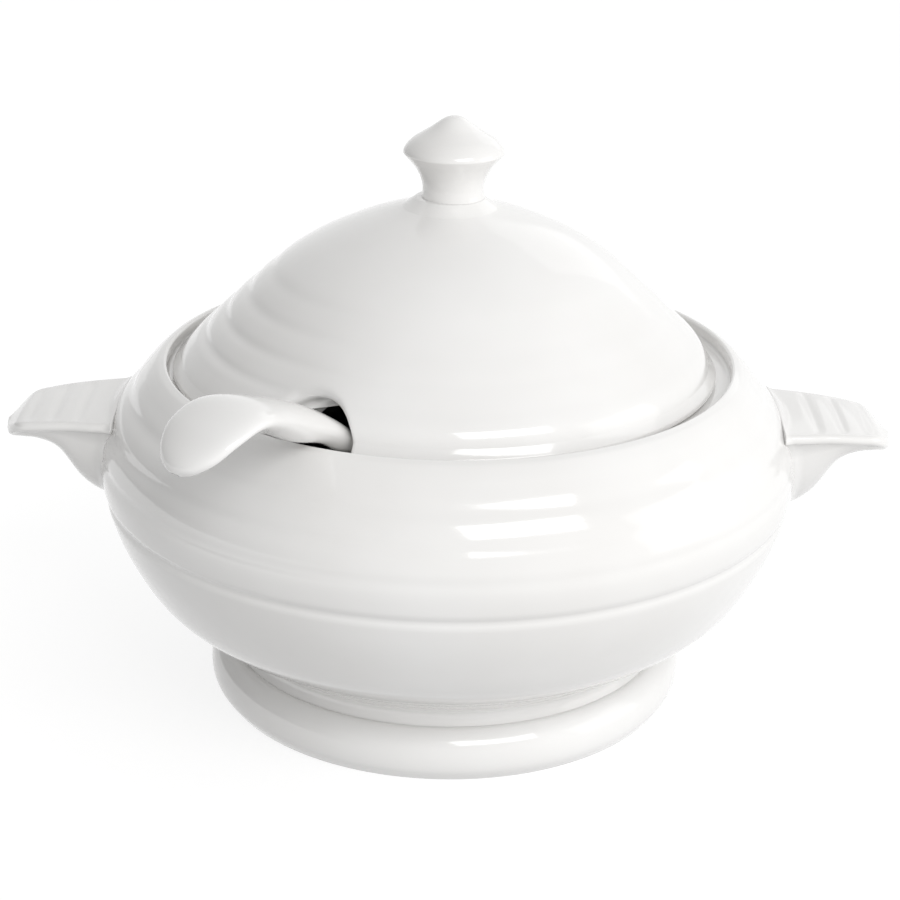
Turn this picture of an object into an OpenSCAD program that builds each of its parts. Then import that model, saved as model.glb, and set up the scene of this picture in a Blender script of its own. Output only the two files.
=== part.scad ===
/* [Tureen] */
// Widest diameter of the bowl
bowl_d = 281; // [260:1:300]
// Height of the bowl's rim above the table
rim_h = 140.5; // [130:0.5:150]
// Diameter of the opening at the rim
opening_d = 226; // [218:1:232]
// Thickness of the bowl's wall
wall = 5.5; // [4.5:0.5:6.5]
// Depth of the soft grooves thrown round the bowl and the lid
groove_depth = 0.8; // [0.2:0.1:1.2]

/* [Foot ring] */
// Height of the foot ring
foot_h = 22; // [18:0.5:26]
// Widest diameter of the foot ring
foot_d = 197; // [190:1:204]

/* [Side handles] */
// Distance between the tips of the two handles
handle_span = 359; // [345:1:375]
// Width of a handle where it leaves the bowl
handle_w = 58; // [48:1:64]
// Height of a handle's top face above the table
handle_z = 117.5; // [112:0.5:120]

/* [Lid] */
// Diameter of the lid at its edge
lid_d = 215; // [213:1:219]
// Height of the top of the dome above the table, lid closed
lid_top = 205.5; // [196:0.5:216]
// Thickness of the lid's shell
lid_wall = 4.5; // [4:0.5:5]
// How far the lid sits off centre in its seat
lid_shift = 0.8; // [0:0.1:2]
// Diameter of the knob's cap
knob_d = 39.5; // [34:0.5:44]
// Height of the knob
knob_h = 32; // [28:0.5:36]

/* [Ladle] */
// Outer diameter of the ladle's cup
cup_d = 84; // [76:1:88]
// Depth of the ladle's cup, outside
cup_h = 34; // [30:1:38]
// Width of the thumb rest at the end of the ladle's handle
leaf_w = 34; // [28:1:38]
// Angle of the ladle's handle as it leans over the rim, from straight across the tureen
ladle_turn = 50; // [48:1:52]

/* [Hidden] */
$fn = 96;

porcelain = [0.95, 0.95, 0.94];
inside_porcelain = [0.92, 0.92, 0.91];

bowl_r = bowl_d / 2;
opening_r = opening_d / 2;
foot_r = foot_d / 2;
lid_r = lid_d / 2;
handle_r = handle_span / 2;

// ---- Curves ----

// Point of a Catmull-Rom curve between b and c, a share t of the way
function curve_point(a, b, c, d, t) =
    0.5 * (2 * b + (c - a) * t + (2 * a - 5 * b + 4 * c - d) * t * t
           + (3 * b - a - 3 * c + d) * t * t * t);

// Smooth curve through a list of points or numbers, with a number of steps to each span
function smooth(p, steps) = let (last = len(p) - 1) [
    for (i = [0 : last - 1])
        for (k = [0 : steps - 1])
            curve_point(p[max(i - 1, 0)], p[i], p[i + 1], p[min(i + 2, last)], k / steps),
    p[last]
];

// Arc of a circle as points, from one angle to another
function arc(centre, r, from, to, steps) = [
    for (k = [0 : steps])
        let (a = from + (to - from) * k / steps)
            centre + r * [cos(a), sin(a)]
];

// Unit vector that points left of the way from p to q
function left_of(p, q) = let (v = q - p) [-v[1], v[0]] / norm(v);

// The same curve moved sideways by a distance, to its left where that is positive
function beside(p, distance) = let (last = len(p) - 1) [
    for (i = [0 : last])
        p[i] + distance * left_of(p[max(i - 1, 0)], p[min(i + 1, last)])
];

function reversed(p) = [for (i = [len(p) - 1 : -1 : 0]) p[i]];

// A soft round groove at height at: 1 in its middle, and nearly 0 past its width
function groove(z, at, width) = exp(-pow((z - at) / width, 2));

// ---- Bowl and foot ring ----

// Outside of the bowl, from the cove above the foot to just under the rim,
// as shares of the bowl's radius and of its height above the foot
bowl_shape = [
    [0.640, -0.016], [0.629, 0.010], [0.631, 0.030], [0.645, 0.049], [0.720, 0.110],
    [0.805, 0.175], [0.878, 0.255],
    [0.938, 0.375], [0.979, 0.500], [1.000, 0.640], [0.985, 0.745], [0.938, 0.850],
    [0.861, 0.958]
];
bowl_steps = 6;
// Heights of the bowl's grooves, as shares of its height above the foot
bowl_grooves = [0.574, 0.690, 0.790, 0.882];
// How deep each groove is beside the deepest one
groove_shares = [1, 0.6, 0.6, 0.5];
groove_width = 2.4;

function bowl_height(share) = foot_h + share * (rim_h - foot_h);
function bowl_groove(z) = groove_depth * sum([
    for (i = [0 : len(bowl_grooves) - 1])
        groove_shares[i] * groove(z, bowl_height(bowl_grooves[i]), groove_width)
]);
function sum(v, i = 0) = i < len(v) ? v[i] + sum(v, i + 1) : 0;

bowl_plain = smooth([for (p = bowl_shape) [p[0] * bowl_r, bowl_height(p[1])]], bowl_steps);
bowl_outside = [for (p = bowl_plain) [p[0] - bowl_groove(p[1]), p[1]]];

// The shoulder rolls over into the rim, which ends in a crisp edge inside
rim_w = 4;
rim_edge = 1.2;
rim_curve = smooth([
    [opening_r + 5.6, rim_h - 2.7], [opening_r + 3.5, rim_h - 1], [opening_r + rim_edge, rim_h]
], 4);

// The lid rests on a ledge inside the rim
ledge_z = rim_h - 5.7;
ledge_r = opening_r - 11;
ledge_t = 4;
floor_t = 6;
floor_r = 74;
// The inside follows the outside's curve, from above the floor to under the ledge
inside_from = 21;
inside_to = 69;
bowl_inside = [
    for (i = [inside_from : inside_to])
        beside(bowl_plain, wall)[i]
];

// The cove over the foot ring starts at this radius, and its lip is this wide
neck_r = bowl_outside[0][0];
foot_bed = 3;

// Section of the bowl, half of it
function bowl_section() = concat(
    [[0, foot_h], [neck_r - foot_bed, foot_h]],
    bowl_outside,
    rim_curve,
    arc([opening_r + rim_edge, rim_h - rim_edge], rim_edge, 112, 180, 4),
    arc([opening_r - 1, ledge_z + 1], 1, 0, -90, 3),
    arc([ledge_r + 1, ledge_z - 1], 1, 90, 180, 3),
    arc([ledge_r + 2, ledge_z - ledge_t + 2], 2, 180, 250, 3),
    reversed(bowl_inside),
    smooth([[floor_r + 8, foot_h + floor_t + 3.2], [floor_r, foot_h + floor_t + 0.6],
            [floor_r - 12, foot_h + floor_t]], 3),
    [[0, foot_h + floor_t]]
);

module bowl() {
    color(porcelain)
        rotate_extrude()
            polygon(bowl_section());
}

// Everything inside the bowl's outer face
module bowl_envelope() {
    rotate_extrude()
        polygon(concat(
            [[0, foot_h]],
            bowl_outside,
            [[0, bowl_outside[len(bowl_outside) - 1][1]]]
        ));
}

// How far the foot ring's outer face tucks in where it meets the table
foot_tuck = 3.4;
// Round outer face of the foot ring, from its top crease down to the table
foot_outside = smooth([
    [neck_r, foot_h - 1.9], [foot_r - 6.4, foot_h - 2], [foot_r - 3.6, foot_h - 4.1],
    [foot_r - 1.1, foot_h - 7.6], [foot_r, foot_h * 0.42], [foot_r - 0.6, foot_h * 0.2],
    [foot_r - foot_tuck, 0]
], 4);
foot_rest_w = 6;
foot_inner_r = foot_r - foot_tuck - foot_rest_w;

module foot_ring() {
    color(porcelain)
        rotate_extrude()
            polygon(concat(
                foot_outside,
                [[foot_inner_r, 0], [foot_inner_r - 2, 2.5], [neck_r - 9, foot_h - 3],
                 [neck_r - 11, foot_h], [neck_r - foot_bed, foot_h]]
            ));
}

// ---- Side handles ----

// Stations along a handle, as shares of the way from its root, inside the bowl's wall, to its tip
handle_root = bowl_r - 14;
handle_reach = handle_r - handle_root;
handle_steps = 26;
// Half width, height of the top face and depth of the middle, at even steps along the handle
handle_width_shape = [1.02, 0.98, 0.94, 0.88, 0.83, 0.77, 0.69, 0.60];
handle_top_shape = [0.8, 0.6, 0.3, 0, -0.6, -1.5, -3, -8.2];
handle_depth_shape = [39, 38.5, 36.5, 30, 17, 11.5, 9.4, 5.2];
edge_t = 4.2;
// Points round one section: across the top, round the edges and along the underside
top_points = 9;
under_points = 17;

function at_share(shape, t) = let (
    x = t * (len(shape) - 1),
    i = min(floor(x), len(shape) - 2),
    last = len(shape) - 1
) curve_point(shape[max(i - 1, 0)], shape[i], shape[i + 1], shape[min(i + 2, last)], x - i);

// The plan narrows to a round end, from this share of the way along
end_from = 0.8;
function handle_half_w(t) = handle_w / 2 * at_share(handle_width_shape, t)
    * (t < end_from ? 1 : sqrt(1.01 - pow((t - end_from) / (1 - end_from), 2)));

// Half of a section goes round its underside as a deep rounded trough below a thin edge
function under_depth(u, depth) = edge_t + (max(depth, edge_t) - edge_t) * pow(1 - pow(abs(u), 2.6), 0.62);

function handle_section(t) = let (
    w = handle_half_w(t),
    z = handle_z + at_share(handle_top_shape, t),
    depth = at_share(handle_depth_shape, t),
    x = handle_root + handle_reach * t
) concat(
    [for (k = [0 : top_points - 1])
        let (u = 2 * k / (top_points - 1) - 1)
            [x, u * (w - 1.2), z + 0.5 * (1 - u * u)]],
    [for (k = [0 : under_points - 1])
        let (u = 1 - 2 * k / (under_points - 1))
            [x, u * w * (1 - 0.06 * (1 - u * u)), z - under_depth(u, depth) * (abs(u) == 1 ? 0.35 : 1)]]
);

// A closed solid through a list of sections with the same number of points
module loft(sections) {
    n = len(sections[0]);
    m = len(sections);
    points = [for (s = sections) each s];
    sides = [
        for (i = [0 : m - 2])
            for (k = [0 : n - 1])
                each [
                    [i * n + k, (i + 1) * n + k, (i + 1) * n + (k + 1) % n],
                    [i * n + k, (i + 1) * n + (k + 1) % n, i * n + (k + 1) % n]
                ]
    ];
    first = [for (k = [n - 1 : -1 : 0]) k];
    last = [for (k = [0 : n - 1]) (m - 1) * n + k];
    polyhedron(points, concat(sides, [reversed(first)], [reversed(last)]), convexity = 6);
}

module side_handle() {
    difference() {
        loft([for (i = [0 : handle_steps]) handle_section(i / handle_steps)]);
        bowl_envelope();
    }
}

module handle_right() {
    color(porcelain)
        side_handle();
}

module handle_left() {
    color(porcelain)
        rotate([0, 0, 180])
            side_handle();
}

// ---- Lid ----

lid_x = -lid_shift;
lid_edge_t = 5;
// Rounding of the lid's lower edge
lid_edge_r = 1.8;
// Clear space under the lid's edge, as wide as a coat of glaze
lid_gap = 0.3;
lid_seat_z = ledge_z + lid_gap;
// Outside of the dome, from above the edge to the flat under the knob,
// as shares of the lid's radius and of the dome's height above its edge
dome_shape = [
    [0.975, 0.000], [0.946, 0.100], [0.866, 0.232], [0.787, 0.358], [0.701, 0.487],
    [0.607, 0.617], [0.490, 0.738], [0.328, 0.860], [0.172, 0.944]
];
dome_steps = 5;
dome_z = lid_seat_z + lid_edge_t;
dome_grooves = [0.175, 0.295, 0.42, 0.55];
dome_groove_shares = [0.6, 0.6, 0.5, 0.3];
function dome_height(share) = dome_z + share * (lid_top - dome_z);
function dome_groove(z) = groove_depth * sum([
    for (i = [0 : len(dome_grooves) - 1])
        dome_groove_shares[i] * groove(z, dome_height(dome_grooves[i]), 2)
]);
dome_plain = smooth([for (p = dome_shape) [p[0] * lid_r, dome_height(p[1])]], dome_steps);
dome_outside = [for (p = dome_plain) p - dome_groove(p[1]) * [0.7, 0.7]];
dome_inside = [for (i = [1 : len(dome_plain) - 1]) beside(dome_plain, lid_wall)[i]];

// The flange drops inside the ledge and keeps the lid in place
flange_r = ledge_r - lid_shift - 1.4;
flange_t = 4;
flange_h = 9;
knob_seat_r = 13.8;

function lid_section() = concat(
    [[knob_seat_r, lid_top], [0, lid_top], [0, lid_top - lid_wall - 1]],
    reversed(dome_inside),
    [[flange_r - flange_t, lid_seat_z + 1]],
    arc([flange_r - flange_t / 2, lid_seat_z - flange_h + flange_t / 2], flange_t / 2, 180, 360, 6),
    [[flange_r, lid_seat_z]],
    arc([lid_r - lid_edge_r, lid_seat_z + lid_edge_r], lid_edge_r, -90, 40, 6),
    dome_outside
);

// The notch in the lid's edge lets the ladle's handle out
notch_turn = -118.2;
notch_r = 18;
notch_in = 60;
notch_len = 70;

module notch_cut() {
    translate([lid_x, 0, lid_seat_z])
        rotate([90, 0, notch_turn + 90])
            translate([0, 0, notch_in])
                linear_extrude(notch_len)
                    union() {
                        circle(notch_r);
                        translate([-notch_r, -notch_r - 10])
                            square([2 * notch_r, notch_r + 10]);
                    }
}

module lid_dome() {
    color(porcelain)
        difference() {
            translate([lid_x, 0, 0])
                rotate_extrude()
                    polygon(lid_section());
            notch_cut();
        }
}

// A narrow neck under a wide cap that rises to a low rounded point
knob_r = knob_d / 2;
// The knob is set a little off the middle of the lid
knob_off = 1.2;
neck_shape = smooth([
    [12.4, 0], [12.1, 2.2], [12.2, 5], [13.2, 8.6], [15.3, 12.4], [17.8, 15.4], [knob_r - 0.6, 17]
], 3);
cap_shape = smooth([
    [knob_r, 18.2], [knob_r - 1.1, 20.4], [knob_r - 3.7, 23], [knob_r - 7.1, 25.2],
    [knob_r - 10.3, 27.2], [knob_r - 13.2, 29.3], [knob_r - 15.8, 31], [knob_r - 17.8, 31.8]
], 3);
knob_height = 32;

module lid_knob() {
    color(porcelain)
        translate([lid_x + knob_off, 0, lid_top])
            scale(knob_h / knob_height)
                rotate_extrude()
                    polygon(concat([[0, 0]], neck_shape, cap_shape, [[0, knob_height]]));
}

// ---- Ladle ----

// Where the ladle's handle crosses the rim, and the upright plane that it lies in
cross_turn = -116.6;
cross_r = opening_r + rim_w;
cross = [cross_r * cos(cross_turn), cross_r * sin(cross_turn), 0];
outward = [-cos(ladle_turn), -sin(ladle_turn), 0];
sideways = [sin(ladle_turn), -cos(ladle_turn), 0];
up = [0, 0, 1];

// Along the handle: distance outside the rim, height above the rim, half width, half thickness
slope_in = 0.79;
leaf = leaf_w / 34;
straight_end = -14;
straight_z = 2.2;
handle_line = concat(
    [[-107, -99, 9, 3], [-103.5, -87, 8.6, 3.6], [-98, -73, 7.6, 4.5], [-90, -60.5, 7.1, 4.9]],
    [for (d = [-80, -58, -36, straight_end])
        [d, straight_z + (d - straight_end) * slope_in, 7, 5]],
    [[4, 10.9, 9.4 * leaf, 6.8], [20, 18.6, 13.2 * leaf, 5.9], [34, 22.6, 16.8 * leaf, 5],
     [46, 19.6, 16.7 * leaf, 4.5], [54, 14.2, 13.4 * leaf, 4.2], [58.6, 10.2, 8 * leaf, 3.2],
     [60.4, 8.5, 2.8 * leaf, 1.4]]
);
line_steps = 4;
line_points = smooth(handle_line, line_steps);
round_points = 20;

function line_place(p) = cross + p[0] * outward + (rim_h + p[1]) * up;
function line_way(i) = let (
    a = line_points[max(i - 1, 0)],
    b = line_points[min(i + 1, len(line_points) - 1)],
    v = (b[0] - a[0]) * outward + (b[1] - a[1]) * up
) v / norm(v);

function ladle_section(i) = let (
    p = line_points[i],
    way = line_way(i),
    face = cross_product(sideways, way)
) [
    for (k = [0 : round_points - 1])
        let (a = 360 * k / round_points)
            line_place(p) + p[2] * cos(a) * sideways + p[3] * sin(a) * face
];

function cross_product(a, b) = [
    a[1] * b[2] - a[2] * b[1],
    a[2] * b[0] - a[0] * b[2],
    a[0] * b[1] - a[1] * b[0]
];

// The cup lies on the bowl's floor, tipped towards the handle
cup_r = cup_d / 2;
cup_t = 4;
cup_tip = 12;
cup_gap = 0.3;
cup_out = -150;
cup_lip_h = cup_h - 1.4;
cup_profile = smooth([
    [0, 0], [0.36 * cup_r, 0.05 * cup_h], [0.68 * cup_r, 0.24 * cup_h],
    [0.89 * cup_r, 0.55 * cup_h], [cup_r, cup_lip_h]
], 4);
cup_hollow = [for (i = [0 : len(cup_profile) - 1]) beside(cup_profile, cup_t)[i]];
// Tipped, the cup's lowest point is this far below the middle of its base
cup_dip = min([for (p = cup_profile) p[1] * cos(cup_tip) - p[0] * sin(cup_tip)]);
cup_place = cross + cup_out * outward + (foot_h + floor_t + cup_gap - cup_dip) * up;

// Round lip of the cup, from its outside over to an angle
function cup_lip(to) = arc([cup_r - cup_t / 2, cup_lip_h], cup_t / 2, 0, to, to / 22.5);

module cup_solid() {
    rotate_extrude()
        polygon(concat(
            cup_profile,
            cup_lip(180),
            [for (i = [len(cup_hollow) - 2 : -1 : 1]) cup_hollow[i]],
            [[0, cup_t]]
        ));
}

// The cup with its hollow filled in level with its lip
module cup_envelope() {
    rotate_extrude()
        polygon(concat(cup_profile, cup_lip(90), [[0, cup_lip_h + cup_t / 2]]));
}

module cup_in_place() {
    translate(cup_place)
        rotate([0, 0, ladle_turn])
            rotate([0, -cup_tip, 0])
                children();
}

module ladle_cup() {
    color(inside_porcelain)
        cup_in_place()
            cup_solid();
}

module ladle_handle() {
    color(porcelain)
        difference() {
            loft([for (i = [0 : len(line_points) - 1]) ladle_section(i)]);
            cup_in_place()
                cup_envelope();
        }
}

bowl();
foot_ring();
handle_left();
handle_right();
lid_dome();
lid_knob();
ladle_cup();
ladle_handle();
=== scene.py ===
import math

import bmesh
import bpy
from mathutils import Matrix, Vector


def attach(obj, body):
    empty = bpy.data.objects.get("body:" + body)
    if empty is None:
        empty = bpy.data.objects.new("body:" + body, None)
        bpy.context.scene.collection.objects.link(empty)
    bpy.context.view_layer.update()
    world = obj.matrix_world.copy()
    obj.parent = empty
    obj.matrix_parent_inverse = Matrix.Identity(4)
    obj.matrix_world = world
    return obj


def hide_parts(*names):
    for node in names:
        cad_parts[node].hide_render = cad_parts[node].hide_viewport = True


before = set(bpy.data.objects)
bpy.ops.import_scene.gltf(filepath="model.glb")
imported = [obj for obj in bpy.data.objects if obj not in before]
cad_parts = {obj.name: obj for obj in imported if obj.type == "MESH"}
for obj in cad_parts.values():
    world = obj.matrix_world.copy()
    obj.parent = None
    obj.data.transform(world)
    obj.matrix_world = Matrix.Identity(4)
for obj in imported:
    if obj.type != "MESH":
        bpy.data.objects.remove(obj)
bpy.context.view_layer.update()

MM = 0.001

# ---------------------------------------------------------------- dimensions, in millimetres, as in the CAD part
BOWL_R = 140.5
RIM_H = 140.5
OPENING_R = 113.0
WALL = 5.5
FOOT_H = 22.0
FOOT_R = 98.5
HANDLE_R = 179.5
HANDLE_W = 58.0
HANDLE_Z = 117.5
LID_R = 107.5
LID_TOP = 205.5
LID_WALL = 4.5
LID_X = -0.8
KNOB_R = 19.75
LADLE_TURN = 50.0

LEDGE_Z = RIM_H - 5.7
LEDGE_R = OPENING_R - 11.0
LEDGE_T = 4.0
FLOOR_T = 6.0
FLOOR_R = 74.0


# ---------------------------------------------------------------- curves
def curve_point(a, b, c, d, t):
    """Point at share t of the span from b to c of a curve through a, b, c and d."""
    return tuple(
        0.5 * (2 * q + (r - p) * t + (2 * p - 5 * q + 4 * r - s) * t * t + (3 * q - p - 3 * r + s) * t ** 3)
        for p, q, r, s in zip(a, b, c, d)
    )


def smooth(points, steps):
    """Smooth curve through the points, with a number of steps to each span."""
    last = len(points) - 1
    out = []
    for i in range(last):
        a, b, c, d = points[max(i - 1, 0)], points[i], points[i + 1], points[min(i + 2, last)]
        out += [curve_point(a, b, c, d, k / steps) for k in range(steps)]
    return out + [tuple(points[last])]


def arc(cx, cz, r, start, end, steps):
    """Points on a circle about (cx, cz), between two angles in degrees."""
    out = []
    for k in range(steps + 1):
        a = math.radians(start + (end - start) * k / steps)
        out.append((cx + r * math.cos(a), cz + r * math.sin(a)))
    return out


def beside(points, distance):
    """The same curve moved sideways, to its left where distance is positive."""
    last = len(points) - 1
    out = []
    for i, (x, z) in enumerate(points):
        (ax, az), (bx, bz) = points[max(i - 1, 0)], points[min(i + 1, last)]
        n = math.hypot(bx - ax, bz - az)
        out.append((x - distance * (bz - az) / n, z + distance * (bx - ax) / n))
    return out


def at_share(shape, t):
    """Value at share t of a smooth curve through evenly spaced values."""
    x = t * (len(shape) - 1)
    last = len(shape) - 1
    i = min(int(x), last - 1)
    a, b, c, d = shape[max(i - 1, 0)], shape[i], shape[i + 1], shape[min(i + 2, last)]
    return curve_point((a,), (b,), (c,), (d,), x - i)[0]


def interpolate(table, x):
    """Value at x of a list of (x, value) pairs in rising order of x."""
    if x <= table[0][0]:
        return table[0][1]
    for (x0, y0), (x1, y1) in zip(table, table[1:]):
        if x <= x1:
            return y0 + (y1 - y0) * (x - x0) / max(x1 - x0, 1e-9)
    return table[-1][1]


# ---------------------------------------------------------------- meshes
def make_object(name, verts, faces, merge=0.00001):
    """Smooth-shaded object from points in millimetres. Points closer than merge, in metres, become one."""
    mesh = bpy.data.meshes.new(name)
    mesh.from_pydata([tuple(c * MM for c in v) for v in verts], [], faces)
    bm = bmesh.new()
    bm.from_mesh(mesh)
    bmesh.ops.remove_doubles(bm, verts=bm.verts, dist=merge)
    bmesh.ops.recalc_face_normals(bm, faces=bm.faces)
    for f in bm.faces:
        f.smooth = True
    bm.to_mesh(mesh)
    bm.free()
    obj = bpy.data.objects.new(name, mesh)
    bpy.context.scene.collection.objects.link(obj)
    return obj


def lathe(name, profile, segments, x=0.0, place=None):
    """Turns a profile of (radius, height) points about an upright axis. Points at radius 0 become one pole."""
    verts, faces, rings = [], [], []
    for r, z in profile:
        if r < 1e-6:
            rings.append([len(verts)] * segments)
            verts.append((0.0, 0.0, z))
        else:
            rings.append(list(range(len(verts), len(verts) + segments)))
            for k in range(segments):
                a = 2 * math.pi * k / segments
                verts.append((r * math.cos(a), r * math.sin(a), z))
    for a, b in zip(rings, rings[1:]):
        for k in range(segments):
            m = (k + 1) % segments
            corners = [a[k], a[m], b[m], b[k]]
            unique = list(dict.fromkeys(corners))
            if len(unique) > 2:
                faces.append(unique)
    if place is None:
        verts = [(vx + x, vy, vz) for vx, vy, vz in verts]
    else:
        verts = [tuple(place @ Vector(v)) for v in verts]
    return make_object(name, verts, faces)


def loft(name, sections):
    """Skin over sections with the same number of points, closed at both ends."""
    n = len(sections[0])
    verts = [p for s in sections for p in s]
    faces = []
    for i in range(len(sections) - 1):
        for k in range(n):
            m = (k + 1) % n
            faces.append([i * n + k, (i + 1) * n + k, (i + 1) * n + m, i * n + m])
    for base, section in ((0, sections[0]), ((len(sections) - 1) * n, sections[-1])):
        centre = tuple(sum(c) / n for c in zip(*section))
        verts.append(centre)
        hub = len(verts) - 1
        for k in range(n):
            faces.append([hub, base + k, base + (k + 1) % n])
    return make_object(name, verts, faces)


# ---------------------------------------------------------------- bowl
BOWL_SHAPE = [
    (0.640, -0.016), (0.629, 0.010), (0.631, 0.030), (0.645, 0.049), (0.720, 0.110),
    (0.805, 0.175), (0.878, 0.255), (0.938, 0.375), (0.979, 0.500), (1.000, 0.640),
    (0.985, 0.745), (0.938, 0.850), (0.861, 0.958),
]
# Height above the table, depth and half width of each throwing groove
BOWL_GROOVES = [(88.6, 1.0, 1.5), (103.8, 0.34, 2.2), (115.6, 0.36, 2.4), (126.8, 0.34, 2.4)]
# Extra depth of the same grooves on the left
LEFT_GROOVES = [(88.6, 0.3, 1.6), (103.8, 0.5, 2.3), (115.6, 0.55, 2.5), (126.8, 0.75, 2.6)]
# Only points within this distance of the outside are pressed
BOWL_SKIN = 3.0
# The stretch of the wall's inner curve between the floor and the ledge, by point
INSIDE_FROM = 21
INSIDE_TO = 70


def groove_depth(grooves, z):
    """Depth at a height of a list of soft grooves: (height, depth, half width)."""
    return sum(depth * math.exp(-(((z - at) / half) ** 2)) for at, depth, half in grooves)


def leftness(x, y):
    """1 at the far left, fading to 0 at the front, the back and the right."""
    n = math.hypot(x, y)
    return max(0.0, -x / n) ** 1.5 if n > 1e-6 else 0.0


def press_left(obj, grooves, inside, x0=0.0, slope=0.0):
    """Deepens the grooves on the left of a turned piece, outside a table of (height, radius)."""
    for v in obj.data.vertices:
        x, y, z = v.co.x / MM - x0, v.co.y / MM, v.co.z / MM
        n = math.hypot(x, y)
        depth = leftness(x, y) * groove_depth(grooves, z)
        if depth > 1e-4 and n > interpolate(inside, z):
            v.co.x -= depth * x / n * MM
            v.co.y -= depth * y / n * MM
            v.co.z -= slope * depth * MM
    obj.data.update()


bowl_points = [(r * BOWL_R, FOOT_H + h * (RIM_H - FOOT_H)) for r, h in BOWL_SHAPE]
bowl_plain = smooth(bowl_points, 14)
bowl_outside = [(r - groove_depth(BOWL_GROOVES, z), z) for r, z in bowl_plain]
bowl_inside = beside(smooth(bowl_points, 6), WALL)[INSIDE_FROM:INSIDE_TO]
bowl_table = sorted((z, r) for r, z in bowl_plain)
neck_r = bowl_outside[0][0]
# How far in from the neck the bowl's flat base ends, the width of the rim, and the radius of its inner edge
FOOT_BED = 3.0
RIM_W = 4.0
RIM_EDGE = 1.2

bowl_profile = (
    [(0.0, FOOT_H), (40.0, FOOT_H), (neck_r - FOOT_BED, FOOT_H)]
    + bowl_outside
    + smooth([(OPENING_R + 5.6, RIM_H - 2.7), (OPENING_R + 3.5, RIM_H - 1), (OPENING_R + RIM_EDGE, RIM_H)], 8)
    + arc(OPENING_R + RIM_EDGE, RIM_H - RIM_EDGE, RIM_EDGE, 102, 180, 8)
    + arc(OPENING_R - 1.5, LEDGE_Z + 1.5, 1.5, 0, -90, 6)
    + arc(LEDGE_R + 1.2, LEDGE_Z - 1.2, 1.2, 90, 180, 6)
    + arc(LEDGE_R + 2, LEDGE_Z - LEDGE_T + 2, 2, 180, 250, 6)
    + bowl_inside[::-1]
    + smooth([(FLOOR_R + 8, FOOT_H + FLOOR_T + 3.2), (FLOOR_R, FOOT_H + FLOOR_T + 0.6),
              (FLOOR_R - 12, FOOT_H + FLOOR_T)], 6)
    + [(30.0, FOOT_H + FLOOR_T), (0.0, FOOT_H + FLOOR_T)]
)
bowl = lathe("tureen_bowl", bowl_profile, 288)
press_left(bowl, LEFT_GROOVES, [(z, r - BOWL_SKIN) for z, r in bowl_table])

# ---------------------------------------------------------------- foot ring
FOOT_TUCK = 3.4
FOOT_REST_W = 6.0
foot_outside = smooth([
    (neck_r, FOOT_H - 1.9), (FOOT_R - 6.4, FOOT_H - 2), (FOOT_R - 3.6, FOOT_H - 4.1), (FOOT_R - 1.1, FOOT_H - 7.6),
    (FOOT_R, FOOT_H * 0.42), (FOOT_R - 0.6, FOOT_H * 0.2), (FOOT_R - FOOT_TUCK, 0.0),
], 10)
foot_in = FOOT_R - FOOT_TUCK - FOOT_REST_W
foot_profile = (
    foot_outside
    + [(foot_in + 0.6, 0.0), (foot_in - 0.4, 0.6), (foot_in - 2, 2.5), (neck_r - 9, FOOT_H - 3),
       (neck_r - 11, FOOT_H), (neck_r - FOOT_BED, FOOT_H), (neck_r, FOOT_H - 1.9)]
)
foot = lathe("foot_ring_turned", foot_profile, 256)

# ---------------------------------------------------------------- side handles
HANDLE_ROOT = BOWL_R - 14
HANDLE_REACH = HANDLE_R - HANDLE_ROOT
# From root to tip: share of the full width, height of the top, and depth
WIDTH_SHAPE = [1.02, 0.98, 0.94, 0.88, 0.83, 0.77, 0.69, 0.60]
TOP_SHAPE = [0.8, 0.6, 0.3, 0, -0.6, -1.5, -3, -8.2]
DEPTH_SHAPE = [39, 38.5, 36.5, 30, 17, 11.5, 9.4, 5.2]
# Thickness at the edges, and the share of the reach past which the outline rounds off
EDGE_T = 4.2
END_FROM = 0.8
# Distance from the axis, depth and half width of the soft grooves across a handle's top
HANDLE_GROOVES = [(147.5, 0.6, 2.0), (158.0, 0.6, 2.0), (168.0, 0.5, 2.0)]
# How far from the bowl the clay spreads, and how much of that it spreads sideways
LUTE = 3.5
LUTE_SPREAD = 0.55


def handle_half_width(t):
    w = HANDLE_W / 2 * at_share(WIDTH_SHAPE, t)
    if t > END_FROM:
        w *= math.sqrt(max(0.0, 1.0 - ((t - END_FROM) / (1 - END_FROM)) ** 2))
    return w


def handle_section(t, count=36):
    """Outline across the handle at share t of its reach: over the top, then back underneath."""
    w = handle_half_width(t)
    z = HANDLE_Z + at_share(TOP_SHAPE, t)
    depth = max(at_share(DEPTH_SHAPE, t), EDGE_T)
    x = HANDLE_ROOT + HANDLE_REACH * t
    edge = min(EDGE_T / 2, w * 0.9)
    inner = max(w - edge, 0.01)
    points = []
    for side in (1, -1):
        row = []
        for k in range(count):
            y = w * math.sin(math.pi / 2 * (2 * k / (count - 1) - 1))
            over = max(abs(y) - inner, 0.0)
            fall = edge - math.sqrt(max(edge * edge - over * over, 0.0))
            u = min(abs(y) / inner, 1.0)
            if side > 0:
                dip = groove_depth(HANDLE_GROOVES, math.hypot(x, 0.35 * y))
                row.append((x, y, z + 0.5 * (1 - u * u) - fall - dip * (1 - u ** 6)))
            else:
                under = 2 * edge + (depth - EDGE_T) * (1 - u ** 2.6) ** 0.62
                row.append((x, y, z - under + fall))
        points += row if side > 0 else row[::-1][1:-1]
    return points


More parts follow.
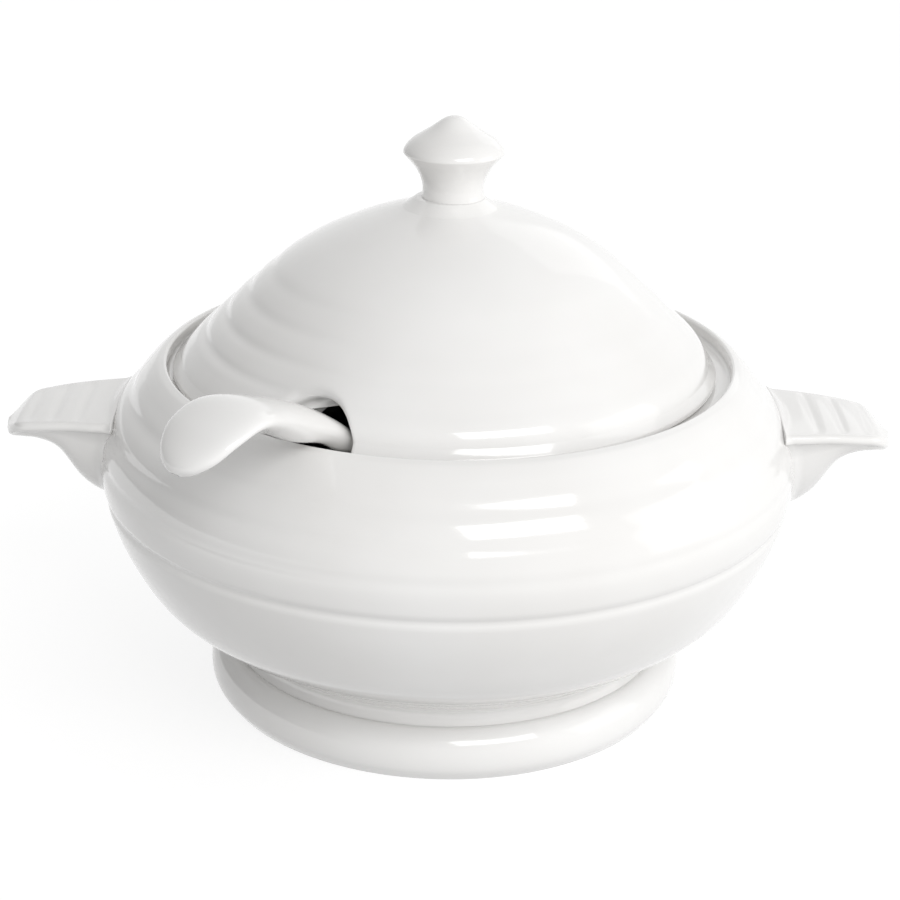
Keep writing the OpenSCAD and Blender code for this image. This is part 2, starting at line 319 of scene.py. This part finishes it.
def lute_handle(sections):
    """Spreads each section a little where it meets the bowl, as soft clay does."""
    out = []
    for section in sections:
        cy = sum(p[1] for p in section) / len(section)
        cz = sum(p[2] for p in section) / len(section)
        row = []
        for x, y, z in section:
            gap = math.hypot(x, y) - interpolate(bowl_table, z)
            f = max(0.0, 1.0 - max(gap, 0.0) / LUTE) ** 2 * LUTE * LUTE_SPREAD
            dy, dz = y - cy, z - cz
            n = max(math.hypot(dy, dz), 1e-6)
            row.append((x, y + f * dy / n, z + f * dz / n))
        out.append(row)
    return out


def handle_stations():
    """Shares of the reach at which the handle has sections, closer together at the rounded end."""
    body = [0.12 + 0.68 * k / 60 for k in range(61)]
    end = [END_FROM + (1 - END_FROM) * math.sin(math.pi / 2 * k / 18) for k in range(1, 18)]
    return body + end + [0.9995]


handle_sections = lute_handle([handle_section(t) for t in handle_stations()])
handle_right = loft("handle_right_lug", handle_sections)
handle_left = loft("handle_left_lug", [[(-x, -y, z) for x, y, z in s] for s in handle_sections])

# ---------------------------------------------------------------- lid
LID_EDGE_T = 5.0
LID_EDGE_R = 1.8
KNOB_SEAT_R = 13.8
KNOB_OFF = 1.2
SEAT_Z = LEDGE_Z + 0.3
DOME_Z = SEAT_Z + LID_EDGE_T
DOME_SHAPE = [
    (0.975, 0.000), (0.946, 0.100), (0.866, 0.232), (0.787, 0.358), (0.701, 0.487),
    (0.607, 0.617), (0.490, 0.738), (0.328, 0.860), (0.172, 0.944),
]
DOME_GROOVES = [(151.5, 0.1, 1.8), (159.5, 0.1, 1.9), (168.0, 0.08, 2.0), (176.5, 0.06, 2.0)]
LEFT_DOME_GROOVES = [(151.5, 0.55, 1.7), (159.5, 0.55, 1.8), (168.0, 0.45, 2.0), (176.5, 0.25, 2.0)]
# Only points within this distance of the outside are pressed
LID_SKIN = 2.5
# Share of its depth by which a groove cuts down into the sloping dome. Those all round cut in by it too
DOME_SLANT = 0.7
# The lid's edge spreads by this much on the left, fully below one height and not at all above the other
SPREAD = 2.4
SPREAD_TOP = 148.0
SPREAD_FULL = 139.0
FLANGE_R = LEDGE_R + LID_X - 1.4
FLANGE_T = 4.0
FLANGE_H = 9.0
NOTCH_TURN = math.radians(-118.2)
NOTCH_R = 18.0
NOTCH_Z = SEAT_Z
# Rounding of the notch's outer edge at its left and at its right, and of every other edge at the notch
NOTCH_ROUND = 4.2
NOTCH_CRISP = 1.4
INNER_ROUND = 1.2
# The wall is thicker inside, round the notch: how much, how far out, and what share is lost at the right
COLLAR = 12.0
COLLAR_REACH = 20.0
COLLAR_FADE = 0.75
# Inside the wall the notch is narrower, and its middle is further right, so its left side slopes
INNER_NOTCH_R = 12.0
INNER_NOTCH_SHIFT = 5.6
# The dome nearer the knob than this has no notch
NOTCH_FROM_R = 60.0


dome_points = [(r * LID_R, DOME_Z + h * (LID_TOP - DOME_Z)) for r, h in DOME_SHAPE]
dome_plain = smooth(dome_points, 14)
dome_outside = [(r - DOME_SLANT * groove_depth(DOME_GROOVES, z), z - DOME_SLANT * groove_depth(DOME_GROOVES, z))
                for r, z in dome_plain]
dome_inside = beside(smooth(dome_points, 5), LID_WALL)[1:]
edge_arc = arc(LID_R - LID_EDGE_R, SEAT_Z + LID_EDGE_R, LID_EDGE_R, -90, 40, 14)
lid_outer = sorted([(z, r) for r, z in edge_arc + dome_outside])
flange_in = FLANGE_R - FLANGE_T
flange_mid = FLANGE_R - FLANGE_T / 2
flange_low = SEAT_Z - FLANGE_H + FLANGE_T / 2
lid_inner = sorted([(flange_low, flange_in), (SEAT_Z + 1, flange_in)] + [(z, r) for r, z in dome_inside])


def eased(t):
    """Rises smoothly from 0 to 1 as t does."""
    t = min(max(t, 0.0), 1.0)
    return t * t * (3 - 2 * t)


def lid_lines():
    """Rings of the lid, from the top, over the outside and round to the inside: (radius, height, rounding)."""
    apex = NOTCH_Z + NOTCH_R
    fine = [NOTCH_ROUND * (1 - math.cos(math.pi / 2 * k / 8)) for k in range(9)]
    levels = [apex + f for f in fine]
    levels += [apex - 0.04, apex - 0.12, apex - 0.25, apex - 0.45, apex - 0.7, apex - 1.0, apex - 1.4]
    z = apex - 1.9
    while z > DOME_Z + 0.2:
        levels.append(z)
        z -= 0.55
    levels += [p[1] for p in edge_arc if NOTCH_Z + 0.05 < p[1] < DOME_Z] + [NOTCH_Z]
    levels = sorted(set(round(v, 4) for v in levels), reverse=True)
    top = [(KNOB_SEAT_R - 0.6, LID_TOP, NOTCH_ROUND), (KNOB_SEAT_R, LID_TOP - 0.25, NOTCH_ROUND)]
    top += [(r, z, NOTCH_ROUND) for r, z in dome_outside[::-1] if z > levels[0] + 0.15]
    outer = [(interpolate(lid_outer, z), z, NOTCH_ROUND) for z in levels]
    under = [(r, z) for r, z in edge_arc[::-1] if z < NOTCH_Z - 0.02]
    under += [(LEDGE_R, SEAT_Z), (FLANGE_R + 0.6, SEAT_Z), (FLANGE_R, SEAT_Z - 0.6)]
    under += arc(flange_mid, flange_low, FLANGE_T / 2, 0, -180, 10)
    under = [(r, z, INNER_ROUND) for r, z in under]
    inner = [(interpolate(lid_inner, z), z, INNER_ROUND) for z in levels[::-1]]
    last = [(r, z, INNER_ROUND) for r, z in dome_inside if z > levels[0] + 0.3]
    return top, outer, under, inner, last


def build_lid():
    """The dome, turned about its axis with the notch left open. Each ring starts and ends at the notch's edge."""
    top, outer, under, inner, last = lid_lines()
    lines = top + outer + under + inner + last
    # Outward direction across the wall at each ring
    normals = []
    for i in range(len(lines)):
        (ar, az, _), (br, bz, _) = lines[max(i - 1, 0)], lines[min(i + 1, len(lines) - 1)]
        n = max(math.hypot(br - ar, bz - az), 1e-9)
        normals.append(((az - bz) / n, (br - ar) / n))
    # Columns are close together at the notch's edge
    near = [NOTCH_ROUND * (1 - math.cos(math.pi / 2 * k / 8)) for k in range(9)]
    while near[-1] < 14:
        near.append(near[-1] + max(0.35, (near[-1] - near[-2]) * 1.18))
    bulk = 200
    verts, faces, rows = [], [], []
    first_inner = len(top) + len(outer) + len(under)
    for number, ((r, z, rho), (nr, nz)) in enumerate(zip(lines, normals)):
        up = z - NOTCH_Z
        inside_wall = number >= first_inner
        hole_r = INNER_NOTCH_R if inside_wall else NOTCH_R
        if up >= hole_r:
            half = 0.0
        elif up > 0:
            half = math.sqrt(hole_r ** 2 - up * up)
        else:
            half = hole_r
        half = min(half, r * 0.9)
        start = math.asin(half / r) if r > 1e-6 else 0.0
        scale = min(1.0, r / 60.0)
        angles = [start + a * scale / max(r, 1e-6) for a in near]
        first, final = angles[-1], 2 * math.pi - angles[-1]
        middle = [first + (final - first) * k / bulk for k in range(1, bulk)]
        angles = angles + middle + [2 * math.pi - a for a in angles[::-1]]
        row = []
        for a in angles:
            u = r * math.sin(a)
            away = math.hypot(u, max(up, 0.0)) - hole_r
            # 0 at the notch's left and 1 at its right
            side = min(max(0.5 + u / (1.2 * NOTCH_R), 0.0), 1.0)
            at_notch = math.cos(a) > 0 and r > NOTCH_FROM_R
            rho_here = NOTCH_ROUND + (NOTCH_CRISP - NOTCH_ROUND) * side if rho == NOTCH_ROUND else rho
            shrink = 0.0
            if at_notch and away < rho_here:
                shrink = rho_here - math.sqrt(max(rho_here ** 2 - (rho_here - max(away, 0.0)) ** 2, 0.0))
            rr, zz = r - shrink * nr, z - shrink * nz
            if inside_wall and at_notch:
                rr -= COLLAR * (1 - COLLAR_FADE * side) * (1 - eased(away / COLLAR_REACH))
            # Where the edge is rounded, a point moves towards the axis but not sideways
            px, py = rr * math.cos(a), (r if shrink else rr) * math.sin(a)
            t = NOTCH_TURN + (INNER_NOTCH_SHIFT / LID_R if inside_wall else 0.0)
            vx, vy = px * math.cos(t) - py * math.sin(t), px * math.sin(t) + py * math.cos(t)
            if not inside_wall and r > FLANGE_R + 1:
                low = eased((SPREAD_TOP - zz) / (SPREAD_TOP - SPREAD_FULL))
                f = 1 + SPREAD * leftness(vx, vy) * low / max(math.hypot(vx, vy), 1.0)
                vx, vy = vx * f, vy * f
            row.append(len(verts))
            verts.append((vx + LID_X, vy, zz))
        rows.append(row)
    for a, b in zip(rows, rows[1:]):
        for k in range(len(a) - 1):
            faces.append([a[k], b[k], b[k + 1], a[k + 1]])
    # Cut walls of the notch: ribs across the wall at each level
    first_outer = len(top)
    slit = [i for i, (r, z, _) in enumerate(outer) if z <= NOTCH_Z + NOTCH_R + 1e-6]
    count = len(outer)
    ribs = 5
    for column in (0, -1):
        previous = None
        for i in slit:
            o = rows[first_outer + i][column]
            n = rows[first_inner + count - 1 - i][column]
            line = [o]
            for k in range(1, ribs):
                s = k / ribs
                line.append(len(verts))
                verts.append(tuple(p + (q - p) * s for p, q in zip(verts[o], verts[n])))
            line.append(n)
            if previous:
                for k in range(ribs):
                    faces.append([previous[k], line[k], line[k + 1], previous[k + 1]])
            previous = line
        border = [rows[i][column] for i in range(first_outer + count, first_inner)]
        faces.append(previous + border[::-1])
    # Top flat under the knob, and the inside's crown
    hub = len(verts)
    verts.append((LID_X, 0.0, LID_TOP))
    ring = rows[0]
    for k in range(len(ring) - 1):
        faces.append([hub, ring[k], ring[k + 1]])
    hub = len(verts)
    verts.append((LID_X, 0.0, LID_TOP - LID_WALL - 1))
    ring = rows[-1]
    for k in range(len(ring) - 1):
        faces.append([hub, ring[k], ring[k + 1]])
    return make_object("lid_dome_thrown", verts, faces, merge=0.000002)


lid = build_lid()
press_left(lid, LEFT_DOME_GROOVES, sorted((z, r - LID_SKIN) for r, z in dome_plain), LID_X, DOME_SLANT)

KNOB_H = 32.0
NECK_SHAPE = [(12.4, 0), (12.1, 2.2), (12.2, 5), (13.2, 8.6), (15.3, 12.4), (17.8, 15.4), (KNOB_R - 0.6, 17)]
CAP_SHAPE = [(KNOB_R, 18.2), (KNOB_R - 1.1, 20.4), (KNOB_R - 3.7, 23), (KNOB_R - 7.1, 25.2), (KNOB_R - 10.3, 27.2),
             (KNOB_R - 13.2, 29.3), (KNOB_R - 15.8, 31), (KNOB_R - 17.8, 31.8)]
knob_curve = smooth(NECK_SHAPE + CAP_SHAPE + [(0.0, KNOB_H)], 8)
knob_profile = [(0.0, LID_TOP)] + [(r, LID_TOP + z) for r, z in knob_curve[:-1]] + [(0.0, LID_TOP + KNOB_H)]
knob = lathe("lid_knob_turned", knob_profile, 160, x=LID_X + KNOB_OFF)

# ---------------------------------------------------------------- ladle
turn = math.radians(LADLE_TURN)
CROSS_TURN = math.radians(-116.6)
CROSS_R = OPENING_R + RIM_W
CROSS = Vector((CROSS_R * math.cos(CROSS_TURN), CROSS_R * math.sin(CROSS_TURN), 0.0))
OUTWARD = Vector((-math.cos(turn), -math.sin(turn), 0.0))
SIDEWAYS = Vector((math.sin(turn), -math.cos(turn), 0.0))
UP = Vector((0.0, 0.0, 1.0))
SLOPE = 0.79
STRAIGHT_Z = 2.2
# Distance out past the rim's crossing, height above the rim, half width and half thickness
HANDLE_LINE = (
    [(-107, -99, 9, 3), (-103.5, -87, 8.6, 3.6), (-98, -73, 7.6, 4.5), (-90, -60.5, 7.1, 4.9)]
    + [(d, STRAIGHT_Z + (d + 14) * SLOPE, 7, 5) for d in (-80, -58, -36, -14)]
    + [(4, 10.9, 9.4, 6.8), (20, 18.6, 13.2, 5.9), (34, 22.6, 16.8, 5), (46, 19.6, 16.7, 4.5), (54, 14.2, 13.4, 4.2),
       (58.6, 10.2, 8, 3.2), (60.4, 8.5, 2.8, 1.4)]
)


def ladle_sections(steps=8, count=48):
    """Oval sections square to the handle's line."""
    points = smooth(HANDLE_LINE, steps)
    out = []
    for i, (d, z, half, thick) in enumerate(points):
        a, b = points[max(i - 1, 0)], points[min(i + 1, len(points) - 1)]
        way = ((b[0] - a[0]) * OUTWARD + (b[1] - a[1]) * UP).normalized()
        face = SIDEWAYS.cross(way)
        centre = CROSS + d * OUTWARD + (RIM_H + z) * UP
        row = []
        for k in range(count):
            t = 2 * math.pi * k / count
            row.append(tuple(centre + half * math.cos(t) * SIDEWAYS + thick * math.sin(t) * face))
        out.append(row)
    return out


ladle_handle = loft("ladle_handle_bent", ladle_sections())

CUP_R = 42.0
CUP_H = 34.0
CUP_T = 4.0
CUP_TIP = math.radians(12.0)
CUP_OUT = -150.0
CUP_LIP = CUP_H - 1.4
cup_line = smooth([(0, 0), (0.36 * CUP_R, 0.05 * CUP_H), (0.68 * CUP_R, 0.24 * CUP_H), (0.89 * CUP_R, 0.55 * CUP_H),
                   (CUP_R, CUP_LIP)], 12)
cup_dip = min(z * math.cos(CUP_TIP) - r * math.sin(CUP_TIP) for r, z in cup_line)
cup_hollow = beside(cup_line, CUP_T)[1:-1]
cup_profile = cup_line + arc(CUP_R - CUP_T / 2, CUP_LIP, CUP_T / 2, 0, 180, 16) + cup_hollow[::-1] + [(0.0, CUP_T)]
cup_base = CROSS + CUP_OUT * OUTWARD + (FOOT_H + FLOOR_T + 0.3 - cup_dip) * UP
cup_place = Matrix.Translation(cup_base) @ Matrix.Rotation(turn, 4, "Z") @ Matrix.Rotation(-CUP_TIP, 4, "Y")
ladle_cup = lathe("ladle_cup_bowl", cup_profile, 160, place=cup_place)


# ---------------------------------------------------------------- glaze
def glaze(name, seed):
    """Glossy white tin glaze: faint cloudy tone, faint unevenness and a clear glassy coat."""
    mat = bpy.data.materials.new(name)
    mat.use_nodes = True
    nodes, links = mat.node_tree.nodes, mat.node_tree.links
    shader = nodes["Principled BSDF"]
    coords = nodes.new("ShaderNodeTexCoord")
    shift = nodes.new("ShaderNodeMapping")
    shift.inputs["Location"].default_value = (seed * 0.137, seed * 0.071, seed * 0.053)
    links.new(coords.outputs["Object"], shift.inputs["Vector"])

    cloud = nodes.new("ShaderNodeTexNoise")
    cloud.inputs["Scale"].default_value = 14.0
    cloud.inputs["Detail"].default_value = 3.0
    links.new(shift.outputs["Vector"], cloud.inputs["Vector"])
    tone = nodes.new("ShaderNodeValToRGB")
    tone.color_ramp.elements[0].position = 0.3
    tone.color_ramp.elements[0].color = (0.80, 0.79, 0.775, 1)
    tone.color_ramp.elements[1].position = 0.7
    tone.color_ramp.elements[1].color = (0.85, 0.845, 0.835, 1)
    links.new(cloud.outputs["Fac"], tone.inputs["Fac"])
    links.new(tone.outputs["Color"], shader.inputs["Base Color"])

    ripple = nodes.new("ShaderNodeTexNoise")
    ripple.inputs["Scale"].default_value = 35.0
    ripple.inputs["Detail"].default_value = 2.0
    links.new(shift.outputs["Vector"], ripple.inputs["Vector"])
    fine = nodes.new("ShaderNodeTexNoise")
    fine.inputs["Scale"].default_value = 900.0
    fine.inputs["Detail"].default_value = 1.0
    links.new(shift.outputs["Vector"], fine.inputs["Vector"])
    soft = nodes.new("ShaderNodeBump")
    soft.inputs["Strength"].default_value = 0.25
    soft.inputs["Distance"].default_value = 0.0006
    links.new(ripple.outputs["Fac"], soft.inputs["Height"])
    peel = nodes.new("ShaderNodeBump")
    peel.inputs["Strength"].default_value = 0.05
    peel.inputs["Distance"].default_value = 0.0001
    links.new(fine.outputs["Fac"], peel.inputs["Height"])
    links.new(soft.outputs["Normal"], peel.inputs["Normal"])
    links.new(peel.outputs["Normal"], shader.inputs["Normal"])

    shader.inputs["Roughness"].default_value = 0.12
    shader.inputs["IOR"].default_value = 1.52
    shader.inputs["Specular IOR Level"].default_value = 0.5
    shader.inputs["Coat Weight"].default_value = 0.6
    shader.inputs["Coat Roughness"].default_value = 0.04
    shader.inputs["Coat IOR"].default_value = 1.5
    return mat


PIECES = [
    (bowl, "tureen", "bowl"), (foot, "tureen", "foot_ring"), (handle_left, "tureen", "handle_left"),
    (handle_right, "tureen", "handle_right"), (lid, "lid", "lid_dome"), (knob, "lid", "lid_knob"),
    (ladle_cup, "ladle", "ladle_cup"), (ladle_handle, "ladle", "ladle_handle"),
]
for number, (piece, body, node) in enumerate(PIECES):
    piece.data.materials.clear()
    piece.data.materials.append(glaze("glaze_" + node, number + 1))
    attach(piece, body)
    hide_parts(node)

# ---------------------------------------------------------------- floor, light and camera
FLOOR_HALF = 6
floor_mesh = bpy.data.meshes.new("floor")
floor_mesh.from_pydata([(FLOOR_HALF * x, FLOOR_HALF * y, 0) for x, y in ((-1, -1), (1, -1), (1, 1), (-1, 1))],
                       [], [(0, 1, 2, 3)])
floor = bpy.data.objects.new("floor", floor_mesh)
bpy.context.scene.collection.objects.link(floor)
floor_mat = bpy.data.materials.new("floor_white")
floor_mat.use_nodes = True
floor_shader = floor_mat.node_tree.nodes["Principled BSDF"]
floor_shader.inputs["Base Color"].default_value = (0.3, 0.3, 0.3, 1)
floor_shader.inputs["Emission Color"].default_value = (1, 1, 1, 1)
floor_shader.inputs["Emission Strength"].default_value = 0.78
floor_shader.inputs["Roughness"].default_value = 0.9
floor_shader.inputs["Specular IOR Level"].default_value = 0.1
floor_mesh.materials.append(floor_mat)
# The floor glows just enough to look white, and doesn't light the tureen
floor.visible_diffuse = False
floor.visible_shadow = False
floor_mat.cycles.emission_sampling = "NONE"

# What the camera and the lights point at, in metres
CENTRE = Vector((0.0, 0.0, 0.0986))


def panel(name, azimuth, elevation, distance, width, height, power):
    """A soft rectangular light. Azimuth is measured from the camera's side, to the right."""
    a, e = math.radians(azimuth), math.radians(elevation)
    way = Vector((math.sin(a) * math.cos(e), -math.cos(a) * math.cos(e), math.sin(e)))
    data = bpy.data.lights.new(name, "AREA")
    data.shape = "RECTANGLE"
    data.size = width
    data.size_y = height
    data.energy = power
    lamp = bpy.data.objects.new(name, data)
    lamp.location = CENTRE + way * distance
    lamp.rotation_euler = (-way).to_track_quat("-Z", "Y").to_euler()
    bpy.context.scene.collection.objects.link(lamp)
    return lamp


panel("window_front", 27, 40, 1.5, 0.9, 0.46, 5.47)
panel("window_side", 80, 12, 1.5, 0.95, 1.15, 2.45)
panel("window_back", 152, 31, 1.6, 0.56, 0.92, 0.48)

# Soft light from all round: each direction, and how bright it is
AROUND = [((1, 0, 0), 1.03), ((-1, 0, 0), 0.133), ((0, 1, 0), 1.02), ((0, -1, 0), 1.178), ((0, 0, 1), 0.57)]
world = bpy.data.worlds.new("studio")
world.use_nodes = True
bpy.context.scene.world = world
wn, wl = world.node_tree.nodes, world.node_tree.links
where = wn.new("ShaderNodeTexCoord")
total = None
for way, power in AROUND:
    toward = wn.new("ShaderNodeVectorMath")
    toward.operation = "DOT_PRODUCT"
    toward.inputs[1].default_value = way
    wl.new(where.outputs["Generated"], toward.inputs[0])
    lit = wn.new("ShaderNodeMath")
    lit.operation = "MAXIMUM"
    lit.inputs[1].default_value = 0.0
    wl.new(toward.outputs["Value"], lit.inputs[0])
    soft = wn.new("ShaderNodeMath")
    soft.operation = "POWER"
    soft.inputs[1].default_value = 2.0
    wl.new(lit.outputs["Value"], soft.inputs[0])
    add = wn.new("ShaderNodeMath")
    add.operation = "MULTIPLY_ADD"
    add.inputs[1].default_value = power
    add.inputs[2].default_value = 0.0
    wl.new(soft.outputs["Value"], add.inputs[0])
    if total is not None:
        wl.new(total, add.inputs[2])
    total = add.outputs["Value"]
wl.new(total, wn["Background"].inputs["Strength"])
wn["Background"].inputs["Color"].default_value = (1, 1, 1, 1)

# Camera: angle above the table, distance in metres, and tilt
ELEVATION = 21.9
DISTANCE = 0.861
ROLL = 0.95
cam_data = bpy.data.cameras.new("camera")
cam_data.lens = 84
cam_data.sensor_width = 36
cam_data.shift_x = 0.0022
camera = bpy.data.objects.new("camera", cam_data)
bpy.context.scene.collection.objects.link(camera)
e = math.radians(ELEVATION)
camera.matrix_world = (
    Matrix.Translation(CENTRE + Vector((0, -math.cos(e), math.sin(e))) * DISTANCE)
    @ Matrix.Rotation(math.pi / 2 - e, 4, "X")
    @ Matrix.Rotation(math.radians(ROLL), 4, "Z")
)
bpy.context.scene.camera = camera
bpy.context.scene.view_settings.view_transform = "Standard"
